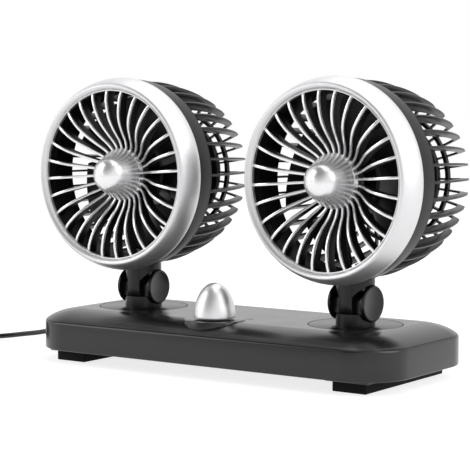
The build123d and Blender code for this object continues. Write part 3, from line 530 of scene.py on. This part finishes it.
neck_black = material("Neck plastic", (0.005,) * 3, 0.28, bump=0.2, Specular_IOR_Level=0.34)
neck_black = tint(neck_black, (0.004,) * 3, (0.006,) * 3, 60)
hinge_height = 37.8
post_radius = 9.85
post_bottom = 27.0
post_top = 33
post_edge = 0.2
clevis_half = 4.2
seat_radius = 9.9
ear_radius = 6
ear_side = 9.2


def post_side(x):
    wide = math.sqrt(max(post_radius**2 - x * x, 0.01))
    flat = wide - min(post_edge, wide)
    left = [(-wide, post_bottom), (-wide, post_top - post_edge), (-flat, post_top)]
    return left + [(-y, z) for y, z in left[::-1]]


def post_middle(x):
    wide = math.sqrt(post_radius**2 - x * x)
    rim = [(-wide, post_bottom), (-wide, post_top - post_edge), (-wide + post_edge, post_top)]
    turns = [math.radians(-60.9 + 121.8 * step / 16) for step in range(17)]
    arc = [(seat_radius * math.sin(turn), hinge_height - seat_radius * math.cos(turn)) for turn in turns]
    return rim + arc + [(-y, z) for y, z in rim[::-1]]


def ear(x):
    inset = 0.25 if abs(x) in (clevis_half, ear_side) else 0
    wide = ear_radius - inset
    turns = [math.pi * step / 20 for step in range(21)]
    arc = [(wide * math.cos(turn), hinge_height + wide * math.sin(turn)) for turn in turns]
    return [(wide, 32.9)] + arc + [(-wide, 32.9)]


post_stations = (clevis_half, 4.4, 6, 7.5, 8.6, 9.3, 9.65, 9.8, 9.84)
ear_stations = (clevis_half, 4.45, 8.95, ear_side)
table_line = [(0, 27.1), (22.9, 27.1, 0), (23.2, 27.0, 0), (23.3, 26.75, 0), (23.3, 24.7), (16.7, 24.7)]
table_line += [(16.7, 22.3), (15.05, 22.3), (15.05, 20.85), (16.7, 20.85), (16.7, 20.5), (12.5, 20.5)]
table_line += [(12.5, 24.7), (0, 24.7)]
table_parts = [lathe(rounded(table_line, 0.2), 128, closed=False)]
table_parts.append(across((-clevis_half, -2.1, 0, 2.1, clevis_half), post_middle))
for sign in (-1, 1):
    table_parts.append(across([sign * x for x in post_stations], post_side))
    table_parts.append(across([sign * x for x in ear_stations], ear))
turntable = join(table_parts)
stands = {}
for side, x, yaw in (("left", -well_x, 0.0), ("right", well_x, -4.8)):
    stands[side] = Matrix.Translation((x, 0, 0)) @ Matrix.Rotation(math.radians(yaw), 4, "Z")
    node = f"{side}_turntable"
    piece(f"{side}_table", turntable, stands[side], neck_black, f"{side}_swivel", node)

# Hinge caps: a shallow black disc with a raised rim, pressed over each end of the tilt bolt on the
# outside of the ears.
cap_line = [(0, 1.62), (7.6, 1.62, 0), (7.9, 1.8, 0.15), (8.6, 1.8, 0.5), (9.15, 1.2), (9.15, 0, 0.1), (0, 0)]
cap = lathe(rounded(cap_line), 64, closed=False)
cap_parts = []
for sign in (1, -1):
    outwards = Matrix.Rotation(sign * math.pi / 2, 4, "Y")
    cap_parts.append((cap, Matrix.Translation((sign * ear_side, 0, hinge_height)) @ outwards))
caps = join(cap_parts)
for side, stand in stands.items():
    piece(f"{side}_caps", caps, stand, neck_black, f"{side}_swivel", f"{side}_hinge_caps")

# Housings: duct, outer band and neck in one black moulding. Below the band the neck narrows to the
# tongue that sits in the clevis. The round parts are drawn about Z, with the air going to -Z.
head_black = material("Housing plastic", (0.008,) * 3, 0.3, bump=0.2, Specular_IOR_Level=0.32)
head_black = tint(head_black, (0.006,) * 3, (0.01,) * 3, 40)
tongue_radius = 9.6
tongue_half = 4
arch_radius = 9.45
neck_top = 54


def tongue(x):
    inset = 0.2 if abs(x) == tongue_half else 0
    wide = math.sqrt(tongue_radius**2 - x * x) - inset
    reach = tongue_radius - inset
    made = []
    for step in range(15):
        turn = math.radians(90 - 180 * step / 14)
        y = max(-wide, min(wide, reach * math.sin(turn)))
        made.append((y, hinge_height - reach * math.cos(turn)))
    return [(wide, neck_top)] + made + [(-wide, neck_top)]


def shoulder(x):
    wide = math.sqrt(max(tongue_radius**2 - x * x, 0.01))
    arch = []
    for step in range(13):
        y = wide - 2 * wide * step / 12
        arch.append((y, hinge_height + math.sqrt(max(arch_radius**2 - y * y, 0))))
    return [(wide, neck_top)] + arch + [(-wide, neck_top)]


shoulder_stations = (tongue_half, 5, 6, 7, 8, 8.8, 9.3, 9.55)
neck_parts = [across((-tongue_half, -3.8, -2, 0, 2, 3.8, tongue_half), tongue)]
for sign in (-1, 1):
    neck_parts.append(across([sign * x for x in shoulder_stations], shoulder))
shell_line = [(45.0, 2.2), (46.2, 2.2), (46.2, 18.2), (48.0, 18.2), (47.1, 10.9), (47.1, 7.4), (49.0, 7.4, 0.1)]
shell_line += [(49.0, 10.9, 0.1), (49.8, 10.9, 0.3), (49.8, 19.6, 0.35), (49.4, 20.0, 0.3), (43.2, 20.0)]
shell_line += [(45, 6.7)]
shell = lathe(rounded(shell_line, 0.15), 160)
head_place = Matrix.Translation((0, -27.4, 98.5)) @ Matrix.Rotation(-math.pi / 2, 4, "X")
housing = join([(shell, head_place), join(neck_parts)])
for side, stand in stands.items():
    piece(f"{side}_shell", housing, stand, head_black, f"{side}_head", f"{side}_housing")
heads = {side: stand @ head_place for side, stand in stands.items()}


# Bezels: the silver painted rim that is pushed over the front of each housing, with a rolled lip
# inside and a full crown outside.
def smooth_line(points, steps=6):
    """Catmull-Rom line through points."""
    found = [Vector(point) for point in points]
    ends = [found[0] * 2 - found[1]] + found + [found[-1] * 2 - found[-2]]
    made = []
    for a, b, c, d in zip(ends, ends[1:], ends[2:], ends[3:]):
        for step in range(steps):
            t = step / steps
            curve = b * 2 + (c - a) * t
            curve = curve + (a * 2 - b * 5 + c * 4 - d) * t**2
            made.append((curve + (b * 3 - a - c * 3 + d) * t**3) / 2)
    return made + [found[-1]]


silver_paint = material("Silver paint", (0.74, 0.74, 0.75), 0.42, 0.8, fleck_group, 0.05, 0.12)
bezel_lip = [(43.6, 1.5), (43.6, 0.1), (43.72, -0.2), (43.95, -0.28), (44.2, -0.2)]
bezel_crown = [(44.35, -0.55), (45.1, -1.45), (45.9, -1.95), (46.7, -1.97), (47.7, -1.0), (48.9, 1.3)]
bezel_crown += [(50.0, 4.7), (50.55, 7.6)]
bezel_back = [(50.6, 9.0), (50.6, 10.2), (50.45, 10.5), (49.1, 10.5), (49.0, 5.4), (46.6, 1.6)]
bezel = lathe(bezel_lip + [tuple(point) for point in smooth_line(bezel_crown)] + bezel_back, 160)
for side, head in heads.items():
    piece(f"{side}_rim", bezel, head, silver_paint, f"{side}_head", f"{side}_bezel")


# Grilles: 28 thin black vanes that run in from a rim to a hub, moulded in one. A bright strip is
# fixed on each vane's front edge, and the strips meet in a small ring on the hub.
def fin(line, section):
    """Strip along a (radius, depth) line. section(share) gives the (sideways, depth) points there."""
    total = len(line) - 1
    return loft([[(r, y, d + z) for y, z in section(step / total)] for step, (r, d) in enumerate(line)])


def turned_copies(bm, count, start):
    return [(bm, Matrix.Rotation(start + math.tau * step / count, 4, "Z")) for step in range(count)]


def trim_section(share):
    wide = 0.74 - 0.12 * share
    low = [(wide, 1.05), (wide, 0.3), (0.86 * wide, 0.08), (0.6 * wide, 0)]
    return [(-y, z) for y, z in low] + low[::-1]


def vane_section(share):
    deep = 6.5 - 1.9 * min(max((share - 0.55) / 0.4, 0), 1)
    right = [(vane_half, 1.0), (vane_half, deep - 0.3), (0.7 * vane_half, deep)]
    return right + [(-y, z) for y, z in right[::-1]]


vane_black = material("Vane plastic", (0.005,) * 3, 0.5, bump=0.2, Specular_IOR_Level=0.35)
vane_black = tint(vane_black, (0.004,) * 3, (0.007,) * 3, 60)
bright_trim = material("Bright trim", (0.9, 0.9, 0.91), 0.24, 0.75, fleck_group, 0.05, 0.03)
vane_count = 28
vane_half = 0.52
vane_start = -math.radians(4.05)
vane_points = [(43.7, 0.4), (39.5, -0.55), (33.5, -0.4), (28.5, 1.0), (24.5, 3.25), (20.8, 5.95)]
vane_points += [(17.4, 8.6), (14.3, 10.0), (12.6, 10.2)]
vane_line = smooth_line(vane_points, 4)
vanes = turned_copies(fin(vane_line[:-3], vane_section), vane_count, vane_start)
hub_line = [(12.6, 11.0), (14.4, 11.0, 0.2), (14.4, 13.8, 0.2), (12.9, 13.8, 0.1), (12.9, 13.4), (0, 13.4)]
hub_line += [(0, 12.2), (12.6, 12.2)]
rim_line = [(43.6, 1.6), (44.9, 1.6), (44.9, 6.5), (43.6, 6.5, 0.3)]
hub = lathe(rounded(hub_line, 0.05), 72, closed=False)
grille = join(vanes + [hub, lathe(rounded(rim_line, 0.1), 128)])
strips = turned_copies(fin(vane_line, trim_section), vane_count, vane_start)
trim_ring = [(11.5, 10.0), (13.3, 10.0, 0.2), (13.3, 11.0), (11.5, 11.0)]
trim = join(strips + [lathe(rounded(trim_ring, 0.1), 72)])
for side, head in heads.items():
    body = f"{side}_head"
    piece(f"{side}_vanes", grille, head, vane_black, body, f"{side}_grille")
    piece(f"{side}_edges", trim, head, bright_trim, body, f"{side}_grille_trim")

# Spinners: the bullet nose in satin plated plastic, fixed on the grille's hub. It has a dimple in
# its tip, a rounded shoulder and a cone that ends in a short straight skirt.
satin = material("Satin spinner", (0.9, 0.9, 0.91), 0.27, 0.75, fleck_group, 0.05, 0.05)
nose_points = [(0.9, -8.18), (2.7, -8.0), (4.7, -7.3), (6.6, -6.1), (7.9, -4.7), (9.0, -2.9)]
nose_points += [(10.4, 0.2), (11.9, 3.4), (13.0, 5.9)]
spinner_line = [(0, -7.9), (0.35, -7.95), (0.55, -8.15)]
spinner_line += [tuple(point) for point in smooth_line(nose_points, 4)]
spinner_line += [(13.35, 6.5), (13.55, 7.2), (13.6, 8.0), (13.6, 9.95)]
spinner_line += [(12.2, 9.95), (10.0, 3), (6.5, -3.5), (0, -5.4)]
spinner = lathe(spinner_line, 96, closed=False)
for side, head in heads.items():
    piece(f"{side}_nose", spinner, head, satin, f"{side}_head", f"{side}_spinner")

# Rear cages: 36 hooked ribs that run back from the band and turn in to a flat hub, tied by a thin
# ring, with the motor's cup inside. It is one black moulding, and three ribs give way to the neck.
rib_count = 36
rib_half = 0.5
rib_bevel = 0.16
neck_rib = 9
neck_cut = 37.9
rib_outer = smooth_line([(49.4, 20), (49.0, 32), (47.7, 42.5), (45.6, 52.5), (43.0, 61.2), (40.8, 65.6)], 5)
rib_tip = smooth_line([(40.8, 65.6), (38.4, 64.9), (34.6, 63.3), (31.0, 61.4), (25.9, 58.6)], 4)
rib_inner = smooth_line([(25.9, 55.6), (31.0, 58.9), (34.6, 61.0), (38.2, 62.3)], 4)[:-1]
rib_inner += smooth_line([(38.2, 62.3), (40.3, 58.0), (42.2, 49.5), (43.4, 39.5), (44.2, 30.0)], 4)
rib = plate(rib_outer[:-1] + rib_tip + rib_inner + [Vector((46.3, 20))], rib_half, rib_bevel)
cut_outline = [Vector((48.3, neck_cut))]
cut_outline += [point for point in rib_outer[:-1] if point.y > neck_cut] + rib_tip
cut_outline += [point for point in rib_inner if point.y > neck_cut]
cut_rib = plate(cut_outline + [Vector((43.6, neck_cut))], rib_half, rib_bevel)
cage_parts = []
for step in range(rib_count):
    shape = cut_rib if abs(step - neck_rib) <= 1 else rib
    cage_parts.append((shape, Matrix.Rotation(math.tau * step / rib_count, 4, "Z")))
ring_outline = [(31.3, 58.4), (33.3, 58.4), (33.3, 60.8), (31.3, 60.8)]
hub_outline = [(12.3, 55.6), (28.8, 55.6, 0.8), (28.8, 58.6), (12.3, 58.6)]
cup_outline = [(12.3, 30.6), (12.3, 55.8), (14.5, 55.8), (14.5, 28.5, 0.6), (5, 28.5), (5, 30.5)]
for outline in (ring_outline, hub_outline, cup_outline):
    cage_parts.append(lathe(rounded(outline, 0.3), 96))
seat_steps = 120
seat_low = math.radians(90 + 9)
seat_high = math.radians(90 + 351)
seat_section = [(46.3, 20), (49.4, 20), (49.4, 21.6), (46.3, 21.6)]
seat_loops = []
for step in range(seat_steps + 1):
    angle = seat_low + (seat_high - seat_low) * step / seat_steps
    seat_loops.append([(r * math.cos(angle), r * math.sin(angle), d) for r, d in seat_section])
cage_parts.append(loft(seat_loops))
cage = join(cage_parts)
for side, head in heads.items():
    piece(f"{side}_cage", cage, head, head_black, f"{side}_head", f"{side}_rear_cage")

# Rear caps: a plain black disc pressed into the cage's hub, which closes the motor's cup.
# Its edge is rounded, and a short collar centres it.
back_line = [(0, 60.4), (24.4, 60.4, 0.9), (25.0, 59.5, 0.4), (25.0, 58.6), (12.1, 58.6), (12.1, 57.4)]
back_line += [(10.2, 57.4), (10.2, 59.2), (0, 59.2)]
rear_cap = lathe(rounded(back_line, 0.2), 96, closed=False)
for side, head in heads.items():
    piece(f"{side}_back", rear_cap, head, head_black, f"{side}_head", f"{side}_rear_cap")

# Impellers: a cup that runs round the motor with five wide, twisted blades, in one dark moulding.
# Each fan stopped at a turn of its own.
blade_grey = material("Blade plastic", (0.009,) * 3, 0.4, bump=0.15, Specular_IOR_Level=0.35)
blade_grey = tint(blade_grey, (0.007,) * 3, (0.011,) * 3, 50)
blade_count = 5
blade_root = 16.6
blade_span = 25.2
root_chord = 20
tip_chord = 44
root_angle = 40
tip_angle = 14
blade_depth = 26.5
span_steps = 12
chord_steps = 16
blade_loops = []
for step in range(span_steps + 1):
    share = step / span_steps
    radius = blade_root + blade_span * share
    chord = root_chord + (tip_chord - root_chord) * share
    if step == span_steps:
        chord *= 0.95
    angle = math.radians(root_angle - (root_angle - tip_angle) * share)
    upper = []
    lower = []
    for chord_step in range(chord_steps + 1):
        s = chord_step / chord_steps - 0.5
        camber = 0.04 * chord * (1 - 4 * s * s)
        thick = 0.7 * math.sqrt(max(1 - (2 * s) ** 4, 0.06)) * (1 - 0.3 * share)
        along = s * chord
        for face, sign in ((upper, 1), (lower, -1)):
            off = camber + sign * thick
            around = (along * math.cos(angle) - off * math.sin(angle)) / radius
            depth = blade_depth + along * math.sin(angle) + off * math.cos(angle)
            face.append((radius * math.cos(around), radius * math.sin(around), depth))
    blade_loops.append(upper + lower[::-1])
blade = loft(blade_loops)
rotor_line = [(0, 22), (16.2, 22, 0.8), (17.2, 23.2, 0.8), (17.2, 40, 0.2), (15.7, 40), (15.7, 25)]
rotor_line += [(3.2, 25), (3.2, 27.9), (1.02, 27.9), (1.02, 22.7), (0, 22.7)]
rotor_hub = lathe(rounded(rotor_line, 0.15), 80, closed=False)
blade_starts = {"left": 14, "right": 43}
for side, head in heads.items():
    impeller = join(turned_copies(blade, blade_count, math.radians(blade_starts[side])) + [rotor_hub])
    piece(f"{side}_blades", impeller, head, blade_grey, f"{side}_rotor", f"{side}_impeller")

# Pieces kept from the CAD model, nearly all of them inside: plated steel, nylon, the circuit board
# with its parts, the smoked window over the light, and the plug's glass fuse.
steel = material("Plated steel", (0.55, 0.55, 0.54), 0.28, 1.0, fleck_group, 0.1, 0.05)
nylon = material("Nylon", (0.75, 0.75, 0.72), 0.45)
laminate = material("Board laminate", (0.03, 0.16, 0.07), 0.35)
laminate = tint(laminate, (0.025, 0.13, 0.055), (0.035, 0.18, 0.08), 200)
component = material("Component case", (0.05,) * 3, 0.4)
smoked = material("Smoked window", (0.02, 0.02, 0.022), 0.12, Coat_Weight=0.3)
glass = material("Fuse glass", (0.9, 0.95, 0.95), 0.05, Transmission_Weight=0.9)
kept = {
    "base_screws": steel,
    "circuit_board": laminate,
    "board_components": component,
    "speed_control": component,
    "control_shaft": steel,
    "indicator_light": smoked,
    "plug_fuse": glass,
}
for side in stands:
    kept[f"{side}_turntable_clip"] = nylon
    for name in ("hinge_bolt", "motor", "motor_screws", "motor_shaft"):
        kept[f"{side}_{name}"] = steel
for name, finish in kept.items():
    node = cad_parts[name]
    node.data.materials.clear()
    node.data.materials.append(finish)

# Floor: a plain pale table top. It is white where the camera, a reflection or glass sees it, and a
# plain grey for the light that it throws back on the object, and it takes the object's shadow.
floor_white = 0.8
floor_mesh = bpy.data.meshes.new("floor")
floor_bm = bmesh.new()
bmesh.ops.create_grid(floor_bm, x_segments=1, y_segments=1, size=3)
floor_bm.to_mesh(floor_mesh)
floor = bpy.data.objects.new("floor", floor_mesh)
floor.location = (0, 0, -0.0002)
scene.collection.objects.link(floor)
floor_paint = bpy.data.materials.new("Floor")
floor_paint.use_nodes = True
tree = floor_paint.node_tree
floor_shader = tree.nodes["Principled BSDF"]
floor_shader.inputs["Base Color"].default_value = (0.4, 0.4, 0.4, 1)
floor_shader.inputs["Roughness"].default_value = 0.9
floor_shader.inputs["Specular IOR Level"].default_value = 0.1
floor_shader.inputs["Emission Color"].default_value = (1, 1, 1, 1)
seen = tree.nodes.new("ShaderNodeLightPath")
direct = tree.nodes.new("ShaderNodeMath")
direct.operation = "MAXIMUM"
tree.links.new(seen.outputs["Is Camera Ray"], direct.inputs[0])
tree.links.new(seen.outputs["Is Glossy Ray"], direct.inputs[1])
any_seen = tree.nodes.new("ShaderNodeMath")
any_seen.operation = "MAXIMUM"
tree.links.new(direct.outputs[0], any_seen.inputs[0])
tree.links.new(seen.outputs["Is Transmission Ray"], any_seen.inputs[1])
glow = tree.nodes.new("ShaderNodeMath")
glow.operation = "MULTIPLY"
glow.inputs[1].default_value = floor_white
tree.links.new(any_seen.outputs[0], glow.inputs[0])
tree.links.new(glow.outputs[0], floor_shader.inputs["Emission Strength"])
floor_mesh.materials.append(floor_paint)

# Surround: a white studio with one dark corner, up on the left in front, that gives the silver
# parts their grey side. It is plain white behind the object, and dimmer as light than as a mirror.
dark_corner = (-0.25, -0.62, 0.74)
dark_level = 0.15
world = bpy.data.worlds.new("Studio")
world.use_nodes = True
scene.world = world
tree = world.node_tree
surround = tree.nodes["Background"]
place = tree.nodes.new("ShaderNodeTexCoord")
facing = tree.nodes.new("ShaderNodeVectorMath")
facing.operation = "DOT_PRODUCT"
facing.inputs[1].default_value = dark_corner
ramp = tree.nodes.new("ShaderNodeValToRGB")
ramp.color_ramp.elements[0].position = 0.5
ramp.color_ramp.elements[0].color = (1, 1, 1, 1)
ramp.color_ramp.elements[1].position = 0.95
ramp.color_ramp.elements[1].color = (dark_level, dark_level, dark_level, 1)
tree.links.new(place.outputs["Generated"], facing.inputs[0])
tree.links.new(facing.outputs["Value"], ramp.inputs["Fac"])
rays = tree.nodes.new("ShaderNodeLightPath")
shown = tree.nodes.new("ShaderNodeMath")
shown.operation = "MAXIMUM"
tree.links.new(rays.outputs["Is Camera Ray"], shown.inputs[0])
tree.links.new(rays.outputs["Is Transmission Ray"], shown.inputs[1])
colour = tree.nodes.new("ShaderNodeMix")
colour.data_type = "RGBA"
colour.inputs[7].default_value = (1, 1, 1, 1)
tree.links.new(shown.outputs[0], colour.inputs[0])
tree.links.new(ramp.outputs["Color"], colour.inputs[6])
tree.links.new(colour.outputs[2], surround.inputs["Color"])
bright = tree.nodes.new("ShaderNodeMath")
bright.operation = "MAXIMUM"
tree.links.new(shown.outputs[0], bright.inputs[0])
tree.links.new(rays.outputs["Is Glossy Ray"], bright.inputs[1])
level = tree.nodes.new("ShaderNodeMapRange")
level.inputs["To Min"].default_value = 0.6
level.inputs["To Max"].default_value = 1.0
tree.links.new(bright.outputs[0], level.inputs["Value"])
tree.links.new(level.outputs["Result"], surround.inputs["Strength"])


# Lamps: three large, soft ones, at the right, in front at the left, and above.
# Their power is low, so that the whites keep their tone.
def softbox(name, position, aim, size, power):
    data = bpy.data.lights.new(name, "AREA")
    data.shape = "RECTANGLE"
    data.size, data.size_y = size
    data.energy = power
    lamp = bpy.data.objects.new(name, data)
    lamp.location = position
    lamp.rotation_euler = (Vector(aim) - Vector(position)).to_track_quat("-Z", "Y").to_euler()
    scene.collection.objects.link(lamp)


softbox("Right softbox", (1.1, 0.1, 0.7), (0, 0, 0.07), (0.8, 1.0), 7)
softbox("Left softbox", (-0.9, -0.7, 0.6), (0, 0, 0.07), (0.7, 1.0), 5)
softbox("Top softbox", (0.1, 0.2, 1.2), (0, 0, 0.05), (1.2, 0.8), 6)
scene.view_settings.view_transform = "Standard"
